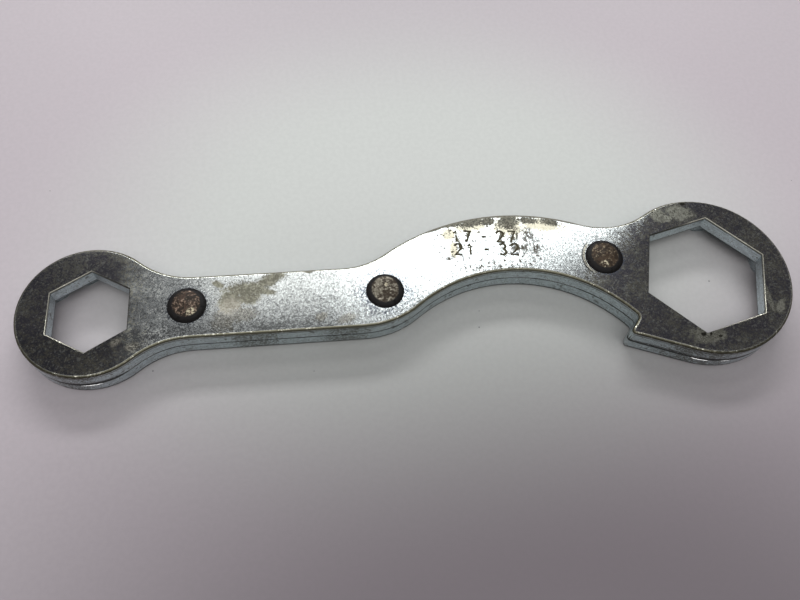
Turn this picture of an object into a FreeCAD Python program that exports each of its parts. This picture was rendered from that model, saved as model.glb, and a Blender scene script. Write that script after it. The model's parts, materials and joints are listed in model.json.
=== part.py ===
# Flat multi spanner: two stamped steel plates of one outline, laid face to face and held by
# three domed rivets. The upper plate has hexagon openings, the lower one twelve-point openings,
# and the bowed middle ends in a hook tooth beside the big ring.
#
# The tool lies flat. X runs from the small ring to the big one, Z is up, and the origin is on
# the underside, below the middle of the overall length. Sizes are in millimetres and degrees.

import FreeCAD, Part

import math
import os

import Sketcher
from FreeCAD import Vector

SIZES = {
    # Overall layout
    "centre_distance": 141.6,
    "plate_thickness": 3.8,
    "small_ring_radius": 15.75,
    "big_ring_radius": 20.5,
    # Straight handle, with edges parallel to the line of centres
    "handle_width": 15.2,
    "handle_shift": -0.42,
    "neck_fillet": 18.6,
    # Bow: concentric arcs, whose inner one rises above the handle's lower edge
    "bow_back": 46.6,
    "bow_rise": 11.92,
    "bow_radius": 35.5,
    "bow_width": 15.35,
    "bow_bend_above": 17.8,
    "bow_bend_below": 21.0,
    "throat_fillet": 18.2,
    # Hook tooth: its back is tangent to the big ring, its face looks into the bow
    "tooth_back_angle": 20.6,
    "tooth_face_angle": 51.0,
    "tooth_face_distance": 8.29,
    "tooth_tip_radius": 0.9,
    "notch_corner_radius": 1.1,
    # Openings, across flats
    "small_hex": 17.0,
    "big_hex": 27.0,
    "small_twelve_point": 21.0,
    "big_twelve_point": 32.0,
    "big_hex_turn": 15.0,
    "opening_clearance": 0.1,
    # Outer edges
    "rim_rounding": 0.7,
    "seam_chamfer": 0.2,
    "foot_chamfer": 0.5,
    # Rivets: the small one by its distance along the handle, the others by their angle on the bow
    "small_rivet_along": 21.3,
    "small_rivet_across": -0.14,
    "middle_rivet_angle": 132.6,
    "middle_rivet_out": 0.4,
    "big_rivet_angle": 58.5,
    "big_rivet_out": 0.85,
    "small_rivet_head": 8.7,
    "middle_rivet_head": 8.7,
    "big_rivet_head": 9.0,
    "rivet_flank_run": 0.95,
    "rivet_flank_height": 0.85,
    "rivet_crown_height": 0.6,
    "rivet_shank": 5.0,
    "rivet_clearance": 0.05,
    "countersink_depth": 1.2,
}

# The rounding's greatest share of the smallest corner that it runs round
ROUNDING_SHARE = 0.8
# Two heights or radii closer than this are the same one
SAME = 1e-4

BIG_X = "sizes.centre_distance"
BOW_X = "sizes.centre_distance - sizes.bow_back"
BOW_DROP = "(sizes.bow_radius - sizes.bow_rise + sizes.handle_width / 2 - sizes.handle_shift)"
BOW_MIDDLE = "sizes.bow_radius + sizes.bow_width / 2"
TO_MIDDLE = "(sizes.small_ring_radius - sizes.big_ring_radius - sizes.centre_distance) / 2"
HOLE_RADIUS = "sizes.rivet_shank / 2 + sizes.rivet_clearance"


def on_bow(name):
    """Expressions for the place of a rivet that is set by its angle about the bow's centre."""
    reach = f"({BOW_MIDDLE} + sizes.{name}_out)"
    along = f"{BOW_X} + {reach} * cos(sizes.{name}_angle * 1 deg)"
    across = f"{reach} * sin(sizes.{name}_angle * 1 deg) - {BOW_DROP}"
    return along, across


RIVETS = {
    "rivet_small_end": ("small_rivet_head", "sizes.small_rivet_along", "sizes.small_rivet_across"),
    "rivet_middle": ("middle_rivet_head", *on_bow("middle_rivet")),
    "rivet_big_end": ("big_rivet_head", *on_bow("big_rivet")),
}

doc = FreeCAD.newDocument("multi_spanner")


def make_sheet():
    """The spreadsheet of driving sizes, one named cell each."""
    sheet = doc.addObject("Spreadsheet::Sheet", "sizes")
    for row, (name, number) in enumerate(SIZES.items(), 1):
        sheet.set(f"A{row}", name)
        sheet.set(f"B{row}", str(number))
        sheet.setAlias(f"B{row}", name)
    doc.recompute()
    return sheet


sheet = make_sheet()


def value(expression):
    """What an expression on the sheet comes to now."""
    result = sheet.evalExpression(expression.replace("sizes.", ""))
    return float(getattr(result, "Value", result))


def new_body(label):
    body = doc.addObject("PartDesign::Body", label)
    body.Label = label
    return body


def new_sketch(body, name, role="XY_Plane"):
    """An empty sketch on one of the body's own origin planes."""
    sketch = body.newObject("Sketcher::SketchObject", name)
    plane = next(item for item in body.Origin.OriginFeatures if item.Role == role)
    sketch.AttachmentSupport = [(plane, "")]
    sketch.MapMode = "FlatFace"
    return sketch


def drive(sketch, name, expression, *constraint):
    """Add a constraint whose size follows the sheet."""
    number = value(expression)
    if constraint[0] == "Angle":
        number = math.radians(number)
    index = sketch.addConstraint(Sketcher.Constraint(*constraint, number))
    sketch.renameConstraint(index, name)
    sketch.setExpression("Constraints." + name, expression)


def polar(angle):
    return Vector(math.cos(math.radians(angle)), math.sin(math.radians(angle)), 0)


def arc(centre, radius, first, last, convex):
    """An arc's curve, and which of its ends comes first on the way round the outline."""
    turns = [math.atan2(point.y - centre.y, point.x - centre.x) for point in (first, last)]
    if not convex:
        turns.reverse()
    circle = Part.Circle(centre, Vector(0, 0, 1), radius)
    return Part.ArcOfCircle(circle, *turns), (1, 2) if convex else (2, 1)


def line(first, last):
    return Part.LineSegment(first, last), (1, 2)


def beside(centre, reach, height, side):
    """The point at this height that stands `reach` from a centre, to its right (1) or left (-1)."""
    return Vector(centre.x + side * math.sqrt(reach**2 - (height - centre.y) ** 2), height, 0)


def outward(centre, radius, towards):
    """The point of a circle that faces another point."""
    return centre + (towards - centre).normalize() * radius


def outline_curves():
    """The plates' outline, counterclockwise from the handle's lower edge."""
    small = Vector(0, 0, 0)
    big = Vector(value(BIG_X), 0, 0)
    bow = Vector(value(BOW_X), -value(BOW_DROP), 0)
    small_ring = value("sizes.small_ring_radius")
    big_ring = value("sizes.big_ring_radius")
    inner = value("sizes.bow_radius")
    outer = value("sizes.bow_radius + sizes.bow_width")
    upper_edge = value("sizes.handle_width / 2 + sizes.handle_shift")
    lower_edge = value("sizes.handle_shift - sizes.handle_width / 2")

    # Fillets where the handle meets the small ring
    neck = value("sizes.neck_fillet")
    neck_below = beside(small, small_ring + neck, lower_edge - neck, 1)
    neck_above = beside(small, small_ring + neck, upper_edge + neck, 1)
    neck_below_end = outward(small, small_ring, neck_below)
    neck_above_end = outward(small, small_ring, neck_above)

    # Bends where the handle meets the bow
    bend_below = value("sizes.bow_bend_below")
    bend_above = value("sizes.bow_bend_above")
    below = beside(bow, inner + bend_below, lower_edge + bend_below, -1)
    above = beside(bow, outer + bend_above, upper_edge + bend_above, -1)
    below_end = outward(bow, inner, below)
    above_end = outward(bow, outer, above)

    # Fillet between the bow and the big ring
    throat = value("sizes.throat_fillet")
    apart = big - bow
    from_bow = outer + throat
    from_big = big_ring + throat
    share = (from_bow**2 - from_big**2 + apart.Length**2) / (2 * apart.Length)
    ahead = Vector(apart).normalize()
    aside = Vector(-ahead.y, ahead.x, 0)
    throat_centre = bow + ahead * share + aside * math.sqrt(from_bow**2 - share**2)
    throat_bow_end = outward(bow, outer, throat_centre)
    throat_ring_end = outward(big, big_ring, throat_centre)

    # Tooth: straight back and face, rounded tip
    back = polar(-90 - value("sizes.tooth_back_angle"))
    face = polar(90 + value("sizes.tooth_face_angle"))
    face_out = value("sizes.tooth_face_distance")
    tip = value("sizes.tooth_tip_radius")
    spread = back.dot(face)
    from_face = (face_out - tip - (big_ring - tip) * spread) / (1 - spread**2)
    from_back = (big_ring - tip - (face_out - tip) * spread) / (1 - spread**2)
    tip_centre = big + face * from_face + back * from_back

    # Rounded corner of the notch, between the tooth's face and the bow's inner arc
    corner = value("sizes.notch_corner_radius")
    start = big + face * (face_out + corner)
    up = Vector(face.y, -face.x, 0)
    lean = (start - bow).dot(up)
    off = (start - bow).Length ** 2 - (inner - corner) ** 2
    corner_centre = start + up * (math.sqrt(lean**2 - off) - lean)
    corner_arc_end = outward(bow, inner, corner_centre)

    return {
        "handle_below": line(Vector(neck_below.x, lower_edge, 0), Vector(below.x, lower_edge, 0)),
        "bend_below": arc(below, bend_below, Vector(below.x, lower_edge, 0), below_end, True),
        "bow_inner": arc(bow, inner, below_end, corner_arc_end, False),
        "corner": arc(corner_centre, corner, corner_arc_end, corner_centre - face * corner, False),
        "face": line(corner_centre - face * corner, tip_centre + face * tip),
        "tip": arc(tip_centre, tip, tip_centre + face * tip, tip_centre + back * tip, True),
        "back": line(tip_centre + back * tip, big + back * big_ring),
        "big_ring": arc(big, big_ring, big + back * big_ring, throat_ring_end, True),
        "throat": arc(throat_centre, throat, throat_ring_end, throat_bow_end, False),
        "bow_outer": arc(bow, outer, throat_bow_end, above_end, True),
        "bend_above": arc(above, bend_above, above_end, Vector(above.x, upper_edge, 0), False),
        "handle_above": line(Vector(above.x, upper_edge, 0), Vector(neck_above.x, upper_edge, 0)),
        "neck_above": arc(neck_above, neck, Vector(neck_above.x, upper_edge, 0), neck_above_end, False),
        "small_ring": arc(small, small_ring, neck_above_end, neck_below_end, True),
        "neck_below": arc(neck_below, neck, neck_below_end, Vector(neck_below.x, lower_edge, 0), False),
    }


def sketch_outline(body):
    """The outline as a fully constrained sketch with every joint tangent."""
    sketch = new_sketch(body, "outline_of_" + body.Label)
    curves = outline_curves()
    edge = {}
    for name, (curve, _) in curves.items():
        edge[name] = sketch.addGeometry(curve, False)

    chain = list(curves)
    for name, following in zip(chain, chain[1:] + chain[:1]):
        last = curves[name][1][1]
        first = curves[following][1][0]
        sketch.addConstraint(Sketcher.Constraint("Tangent", edge[name], last, edge[following], first))

    radii = {
        "small_ring": "sizes.small_ring_radius",
        "big_ring": "sizes.big_ring_radius",
        "neck_above": "sizes.neck_fillet",
        "neck_below": "sizes.neck_fillet",
        "bow_inner": "sizes.bow_radius",
        "bow_outer": "sizes.bow_radius + sizes.bow_width",
        "bend_above": "sizes.bow_bend_above",
        "bend_below": "sizes.bow_bend_below",
        "throat": "sizes.throat_fillet",
        "tip": "sizes.tooth_tip_radius",
        "corner": "sizes.notch_corner_radius",
    }
    for name, expression in radii.items():
        drive(sketch, name + "_radius", expression, "Radius", edge[name])

    small, big, bow = edge["small_ring"], edge["big_ring"], edge["bow_outer"]
    sketch.addConstraint(Sketcher.Constraint("Coincident", small, 3, -1, 1))
    sketch.addConstraint(Sketcher.Constraint("PointOnObject", big, 3, -1))
    sketch.addConstraint(Sketcher.Constraint("Coincident", edge["bow_inner"], 3, bow, 3))
    drive(sketch, "centres", BIG_X, "DistanceX", small, 3, big, 3)
    drive(sketch, "bow_back", "sizes.bow_back", "DistanceX", bow, 3, big, 3)
    drive(sketch, "bow_drop", BOW_DROP, "DistanceY", bow, 3, big, 3)

    for name in ("handle_above", "handle_below"):
        sketch.addConstraint(Sketcher.Constraint("Horizontal", edge[name]))
    rise = "sizes.handle_width / 2 + sizes.handle_shift"
    drive(sketch, "handle_rise", rise, "DistanceY", -1, 1, edge["handle_above"], 1)
    fall = "sizes.handle_width / 2 - sizes.handle_shift"
    drive(sketch, "handle_fall", fall, "DistanceY", edge["handle_below"], 1, -1, 1)

    face, back = edge["face"], edge["back"]
    drive(sketch, "face_angle", "(sizes.tooth_face_angle - 180) * 1 deg", "Angle", face)
    drive(sketch, "back_angle", "-sizes.tooth_back_angle * 1 deg", "Angle", back)
    drive(sketch, "face_distance", "sizes.tooth_face_distance", "Distance", big, 3, face)
    return sketch


def sketch_hexagon(body, name, across_flats, along, corner_angle):
    """A hexagon with its corners on a circle, placed on the line of centres."""
    sketch = new_sketch(body, name)
    across_corners = f"({across_flats}) / cos(30 deg)"
    centre = Vector(value(along), 0, 0)
    reach = value(across_corners) / 2
    turn = value(corner_angle)
    corners = [centre + polar(turn + 60 * step) * reach for step in range(6)]
    circle = sketch.addGeometry(Part.Circle(centre, Vector(0, 0, 1), reach), True)
    sides = []
    for step, corner in enumerate(corners):
        sides.append(sketch.addGeometry(Part.LineSegment(corners[step - 1], corner), False))
    spoke = sketch.addGeometry(Part.LineSegment(centre, corners[0]), True)
    for step, side in enumerate(sides):
        sketch.addConstraint(Sketcher.Constraint("Coincident", sides[step - 1], 2, side, 1))
        sketch.addConstraint(Sketcher.Constraint("PointOnObject", side, 2, circle))
    for side in sides[1:]:
        sketch.addConstraint(Sketcher.Constraint("Equal", sides[0], side))
    sketch.addConstraint(Sketcher.Constraint("PointOnObject", circle, 3, -1))
    sketch.addConstraint(Sketcher.Constraint("Coincident", spoke, 1, circle, 3))
    sketch.addConstraint(Sketcher.Constraint("Coincident", spoke, 2, sides[0], 2))
    drive(sketch, "across_corners", across_corners, "Diameter", circle)
    drive(sketch, "corner_angle", f"({corner_angle}) * 1 deg", "Angle", spoke)
    drive(sketch, "along", along, "DistanceX", -1, 1, circle, 3)
    return sketch


def sketch_rivet_holes(body):
    sketch = new_sketch(body, "rivet_holes_of_" + body.Label)
    for name, (_, along, across) in RIVETS.items():
        centre = Vector(value(along), value(across), 0)
        hole = sketch.addGeometry(Part.Circle(centre, Vector(0, 0, 1), value(HOLE_RADIUS)), False)
        drive(sketch, name + "_radius", HOLE_RADIUS, "Radius", hole)
        drive(sketch, name + "_along", along, "DistanceX", -1, 1, hole, 3)
        drive(sketch, name + "_across", across, "DistanceY", -1, 1, hole, 3)
    return sketch


def cut_through(body, name, sketch):
    """Cut a sketch through the plate above it, and make sure that it took something away."""
    before = body.Shape.Volume
    pocket = body.newObject("PartDesign::Pocket", name)
    pocket.Profile = sketch
    pocket.Type = "ThroughAll"
    pocket.Reversed = True
    doc.recompute()
    if body.Shape.Volume > before - SAME:
        raise RuntimeError(name + " cuts nothing")


def edges_at(shape, height, radius=None):
    """Names of the edges that lie flat at one height, or of the full circles of one radius there."""
    names = []
    for number, edge in enumerate(shape.Edges, 1):
        box = edge.BoundBox
        if abs(box.ZMin - height) > SAME or abs(box.ZMax - height) > SAME:
            continue
        if radius and not (edge.Closed and abs(edge.Curve.Radius - radius) < SAME):
            continue
        names.append(f"Edge{number}")
    return names


def dress_edge(body, kind, name, edges, setting, expression):
    """Round or chamfer some edges of what the body has so far."""
    base = body.Tip
    dressing = body.newObject("PartDesign::" + kind, name)
    dressing.Base = (base, edges)
    dressing.setExpression(setting, expression)
    doc.recompute()


def make_blank(label):
    """A plate with the shared outline, before its edges and openings are cut."""
    body = new_body(label)
    body.setExpression(".Placement.Base.x", TO_MIDDLE)
    pad = body.newObject("PartDesign::Pad", "blank_of_" + label)
    pad.Profile = sketch_outline(body)
    pad.setExpression("Length", "sizes.plate_thickness")
    doc.recompute()
    return body


def make_upper_plate():
    """The plate with the hexagon openings and a rounded rim, lying on the lower one."""
    body = make_blank("upper_plate")
    body.setExpression(".Placement.Base.z", "sizes.plate_thickness")
    rim = edges_at(body.Tip.Shape, value("sizes.plate_thickness"))
    rounding = f"min(sizes.rim_rounding; sizes.tooth_tip_radius * {ROUNDING_SHARE})"
    dress_edge(body, "Fillet", "rim", rim, "Radius", rounding)
    seam = edges_at(body.Tip.Shape, 0)
    dress_edge(body, "Chamfer", "upper_seam_edge", seam, "Size", "sizes.seam_chamfer")
    hexagons = {
        "small_hexagon": ("sizes.small_hex", "0", "30"),
        "big_hexagon": ("sizes.big_hex", BIG_X, "sizes.big_hex_turn"),
    }
    for name, (across_flats, along, turn) in hexagons.items():
        size = across_flats + " + sizes.opening_clearance"
        sketch = sketch_hexagon(body, name + "_sketch", size, along, turn)
        cut_through(body, name, sketch)
    cut_through(body, "upper_rivet_holes", sketch_rivet_holes(body))
    return body


def make_lower_plate():
    """The plate with the twelve-point openings, each made of two hexagons a twelfth apart."""
    body = make_blank("lower_plate")
    foot = edges_at(body.Tip.Shape, 0)
    dress_edge(body, "Chamfer", "foot_edge", foot, "Size", "sizes.foot_chamfer")
    seam = edges_at(body.Tip.Shape, value("sizes.plate_thickness"))
    dress_edge(body, "Chamfer", "lower_seam_edge", seam, "Size", "sizes.seam_chamfer")
    openings = {
        "small_twelve_point": ("sizes.small_twelve_point", "0"),
        "big_twelve_point": ("sizes.big_twelve_point", BIG_X),
    }
    for name, (across_flats, along) in openings.items():
        size = across_flats + " + sizes.opening_clearance"
        for turn in ("0", "30"):
            sketch = sketch_hexagon(body, f"{name}_sketch_{turn}", size, along, turn)
            cut_through(body, f"{name}_{turn}", sketch)
    cut_through(body, "lower_rivet_holes", sketch_rivet_holes(body))
    mouths = edges_at(body.Tip.Shape, 0, value(HOLE_RADIUS))
    dress_edge(body, "Chamfer", "countersinks", mouths, "Size", "sizes.countersink_depth")
    return body


def sketch_rivet(body, head):
    """Half a rivet's section: domed head on the plates, shank, and a foot that fills the countersink."""
    sketch = new_sketch(body, "section_of_" + body.Label, "XZ_Plane")
    head_radius = f"sizes.{head} / 2"
    crown_radius = head_radius + " - sizes.rivet_flank_run"
    flank_height = "sizes.rivet_flank_height"
    head_height = flank_height + " + sizes.rivet_crown_height"
    shank_radius = "sizes.rivet_shank / 2"
    depth = "2 * sizes.plate_thickness"

    def at(x, y):
        return Vector(value(x), value(y), 0)

    top = at("0", head_height)
    crown_edge = at(crown_radius, flank_height)
    rise = value("sizes.rivet_crown_height")
    sphere = (crown_edge.x**2 + rise**2) / (2 * rise)
    centre = Vector(0, top.y - sphere, 0)
    points = [
        crown_edge,
        at(head_radius, "0"),
        at(shank_radius, "0"),
        at(shank_radius, f"sizes.countersink_depth - {depth}"),
        at(f"{shank_radius} + sizes.countersink_depth", f"-{depth}"),
        at("0", f"-{depth}"),
        top,
    ]
    circle = Part.Circle(centre, Vector(0, 0, 1), sphere)
    start = math.atan2(crown_edge.y - centre.y, crown_edge.x)
    crown = sketch.addGeometry(Part.ArcOfCircle(circle, start, math.pi / 2), False)
    sides = [sketch.addGeometry(Part.LineSegment(*pair), False) for pair in zip(points, points[1:])]
    flank, seat, shank, cone, foot, axis = sides

    sketch.addConstraint(Sketcher.Constraint("Coincident", crown, 1, flank, 1))
    for side, following in zip(sides, sides[1:]):
        sketch.addConstraint(Sketcher.Constraint("Coincident", side, 2, following, 1))
    sketch.addConstraint(Sketcher.Constraint("Coincident", axis, 2, crown, 2))
    sketch.addConstraint(Sketcher.Constraint("PointOnObject", crown, 3, -2))
    sketch.addConstraint(Sketcher.Constraint("PointOnObject", axis, 1, -2))
    sketch.addConstraint(Sketcher.Constraint("PointOnObject", axis, 2, -2))
    sketch.addConstraint(Sketcher.Constraint("PointOnObject", seat, 1, -1))
    sketch.addConstraint(Sketcher.Constraint("Horizontal", seat))
    sketch.addConstraint(Sketcher.Constraint("Vertical", shank))
    sketch.addConstraint(Sketcher.Constraint("Horizontal", foot))
    drive(sketch, "head_radius", head_radius, "DistanceX", -1, 1, seat, 1)
    drive(sketch, "crown_radius", crown_radius, "DistanceX", -1, 1, flank, 1)
    drive(sketch, "flank_height", flank_height, "DistanceY", -1, 1, flank, 1)
    drive(sketch, "head_height", head_height, "DistanceY", -1, 1, crown, 2)
    drive(sketch, "shank_radius", shank_radius, "DistanceX", -1, 1, shank, 1)
    drive(sketch, "depth", depth, "DistanceY", axis, 1, -1, 1)
    drive(sketch, "cone_depth", "sizes.countersink_depth", "DistanceY", cone, 2, cone, 1)
    drive(sketch, "cone_run", "sizes.countersink_depth", "DistanceX", cone, 1, cone, 2)
    return sketch


def make_rivet(label, head, along, across):
    body = new_body(label)
    sketch = sketch_rivet(body, head)
    turned = body.newObject("PartDesign::Revolution", "turned_" + label)
    turned.Profile = sketch
    turned.ReferenceAxis = (sketch, ["V_Axis"])
    turned.Angle = 360
    body.setExpression(".Placement.Base.x", f"{TO_MIDDLE} + {along}")
    body.setExpression(".Placement.Base.y", across)
    body.setExpression(".Placement.Base.z", "2 * sizes.plate_thickness")
    doc.recompute()
    return body


def check(bodies):
    """Stop if any object failed or any body isn't one good solid."""
    for item in doc.Objects:
        if "Invalid" in item.State or "Error" in item.State:
            raise RuntimeError(item.Label + " failed")
        if item.TypeId == "Sketcher::SketchObject" and item.solve() != 0:
            raise RuntimeError(item.Label + " can't be solved")
    for body in bodies:
        shape = body.Shape
        if shape.isNull() or not shape.isValid() or len(shape.Solids) != 1:
            raise RuntimeError(body.Label + " isn't one valid solid")


def main():
    bodies = [make_upper_plate(), make_lower_plate()]
    for label, place in RIVETS.items():
        bodies.append(make_rivet(label, *place))
    doc.recompute()
    check(bodies)
    os.makedirs("parts", exist_ok=True)
    for body in bodies:
        body.Shape.exportStep(f"parts/{body.Label}.step")
        box = body.Shape.BoundBox
        print(body.Label, f"{body.Shape.Volume:.1f} mm3,", f"X {box.XMin:.2f} to {box.XMax:.2f},",
              f"Y {box.YMin:.2f} to {box.YMax:.2f},", f"Z {box.ZMin:.2f} to {box.ZMax:.2f}")


main()
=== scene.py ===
"""Multi spanner: worn zinc, stamped numbers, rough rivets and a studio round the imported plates."""

from collections import namedtuple
from functools import reduce
import json
import math

import bpy
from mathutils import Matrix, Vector

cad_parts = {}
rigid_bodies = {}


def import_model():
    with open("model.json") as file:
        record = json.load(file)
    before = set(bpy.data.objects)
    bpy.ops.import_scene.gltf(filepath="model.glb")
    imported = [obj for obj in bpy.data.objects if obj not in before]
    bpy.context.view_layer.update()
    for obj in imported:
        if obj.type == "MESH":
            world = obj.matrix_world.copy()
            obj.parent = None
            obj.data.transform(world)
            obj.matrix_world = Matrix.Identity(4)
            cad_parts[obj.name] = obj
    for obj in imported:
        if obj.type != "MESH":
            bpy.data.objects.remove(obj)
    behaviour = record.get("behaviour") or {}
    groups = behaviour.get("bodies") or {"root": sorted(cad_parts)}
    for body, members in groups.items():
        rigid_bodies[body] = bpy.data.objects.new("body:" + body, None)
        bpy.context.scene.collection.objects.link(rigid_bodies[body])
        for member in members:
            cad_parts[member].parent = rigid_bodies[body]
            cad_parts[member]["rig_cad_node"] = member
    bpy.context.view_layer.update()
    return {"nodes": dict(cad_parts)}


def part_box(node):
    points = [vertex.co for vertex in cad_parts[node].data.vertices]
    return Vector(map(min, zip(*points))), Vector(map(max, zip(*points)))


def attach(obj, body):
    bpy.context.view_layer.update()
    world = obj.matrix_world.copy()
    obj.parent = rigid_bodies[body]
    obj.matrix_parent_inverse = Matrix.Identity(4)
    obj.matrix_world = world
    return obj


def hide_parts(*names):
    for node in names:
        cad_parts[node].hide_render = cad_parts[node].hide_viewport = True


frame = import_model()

bl_info = {
    "name": "Multi Spanner",
    "version": (1, 0, 0),
    "blender": (4, 5, 0),
    "location": "3D View > Sidebar > Spanner",
    "description": "Worn zinc plates, stamped numbers, rough rivets and a studio for a riveted multi spanner",
    "category": "Object",
}

# Places that the frame gives, in metres
MM = 0.001
UPPER_LOW, UPPER_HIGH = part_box("upper_plate")
TOP = UPPER_HIGH.z
SEAM = UPPER_LOW.z
SMALL_RING_RADIUS = 15.75 * MM
BIG_RING_RADIUS = UPPER_HIGH.y
SMALL_CENTRE = Vector((UPPER_LOW.x + SMALL_RING_RADIUS, 0.0, 0.0))
BIG_CENTRE = Vector((UPPER_HIGH.x - BIG_RING_RADIUS, 0.0, 0.0))
RIVET_NODES = ("rivet_small_end", "rivet_middle", "rivet_big_end")

# The bow's outer arc: its middle lies back from the big opening, in front of the line between the openings
CENTRE_DISTANCE = 141.6 * MM
BOW_BACK = 46.6 * MM
BOW_FORWARD = 31.6 * MM
BOW_CENTRE = Vector((SMALL_CENTRE.x + CENTRE_DISTANCE - BOW_BACK, -BOW_FORWARD, 0.0))

# Rounding of the plates' outer rims, how far cutters stay clear of walls, and how near points are merged
OUTER_RIM = 0.70 * MM
CLEAR = 0.01 * MM
MERGE = 0.001 * MM

# Places on the plates in millimetres, each as where a finish starts and where it ends
BOW_OUTER_RADIUS = 35.5 + 15.35
BOW_EDGE = (BOW_OUTER_RADIUS - 0.75, BOW_OUTER_RADIUS - 0.45)
LEFT_PATINA = (-71.0, -56.0)
RIGHT_PATINA = (30.0, 45.0)
NECK_START = (-68.0, -64.0)
NECK_END = (-58.0, -54.0)
SMALL_RING_EDGE = (13.6, 15.4)
BIG_RING_EDGE = (18.0, 20.0)
SMALL_HEXAGON_RIM = (10.9, 11.6)
BIG_HEXAGON_RIM = (16.8, 17.6)
SMALL_OPENING_WALLS = (12.0, 13.0)
BIG_OPENING_WALLS = (17.8, 18.6)
# Heights of the painted contact shadow at the foot of the walls
FOOT_SHADOW_BAND = (0.70, 0.95)
HALO_START = 4.2
HALO_ENDS = (5.6, 8.6, 5.4)
CRESCENT_INSIDE = (4.55, 4.7)
CRESCENT_OUTSIDE = (5.05, 5.2)
CRESCENT_OUTLINE = (5.4, 5.5)
CRESCENT_SIDE = (41.0, 42.2)
# How far below the seam the painted highlight lies
HIGHLIGHT_BELOW_SEAM = 0.72


class Tone:
    """Colours of wear and dirt as linear red, green and blue, some as a dark and a pale shade; a few are
    painted shadow, painted shade and painted highlights.
    """

    WALL_DIRT = (0.10, 0.098, 0.075)
    WALL_CHIP = (0.10, 0.10, 0.085)
    WALL_SPECK = (0.13, 0.14, 0.12)
    UNDER_RIM_DARK = (0.065, 0.062, 0.045)
    # Painted contact shadow at the foot of the walls
    PAINTED_FOOT_SHADOW = (0.025, 0.025, 0.024)
    # A dark line under the rims
    SEAM = (0.025, 0.025, 0.022)
    # White of the painted highlights on the lower plate's edge
    PAINTED_HIGHLIGHT = (1.0, 1.0, 1.0)
    PALE_PATINA = (0.235, 0.24, 0.24)
    # Darker tone on the small ring's near side
    NEAR_SIDE_DARK = (0.020, 0.022, 0.027)
    WARM_PATINA = (0.150, 0.142, 0.108)
    FLECK = (0.40, 0.41, 0.38)
    OLIVE = ((0.110, 0.105, 0.070), (0.290, 0.284, 0.208))
    BEIGE = ((0.34, 0.315, 0.25), (0.60, 0.57, 0.49))
    BLOOM = (0.70, 0.64, 0.45)
    BOW_STAIN = ((0.055, 0.053, 0.037), (0.175, 0.17, 0.125))
    BARE = ((0.22, 0.218, 0.18), (0.44, 0.438, 0.38))
    RUST = (0.060, 0.050, 0.030)
    PIT = (0.022, 0.020, 0.016)
    HALO = (0.10, 0.12, 0.17)
    CRESCENT = (0.55, 0.52, 0.44)
    CRESCENT_OUTLINE = (0.05, 0.045, 0.04)
    SCRATCH = (0.42, 0.43, 0.41)
    SCUFF = (0.70, 0.71, 0.69)
    KHAKI = (0.40, 0.40, 0.33)
    RIM = ((0.18, 0.175, 0.125), (0.105, 0.10, 0.072))
    RIM_METAL = (0.50, 0.49, 0.41)
    RIM_STAIN = (0.10, 0.09, 0.06)
    HEXAGON_RIM = (0.42, 0.41, 0.36)
    DULL_RIM = (0.075, 0.074, 0.066)
    STAMP = ((0.045, 0.040, 0.026), (0.13, 0.115, 0.07))
    # Painted glint on the rivet crowns
    GLEAM = (0.66, 0.60, 0.43)
    # Near-black on the rivet flanks: painted shade and dark reflection
    PAINTED_FLANK_SHADE = (0.006, 0.005, 0.005)


def shade(colour, share):
    return tuple(value * share for value in colour)


def centre_of(node):
    """The middle of a CAD node, seen from above."""
    low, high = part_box(node)
    return Vector(((low.x + high.x) / 2, (low.y + high.y) / 2, 0.0))


# Node trees

FLOAT, VECTOR = "NodeSocketFloat", "NodeSocketVector"


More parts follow.
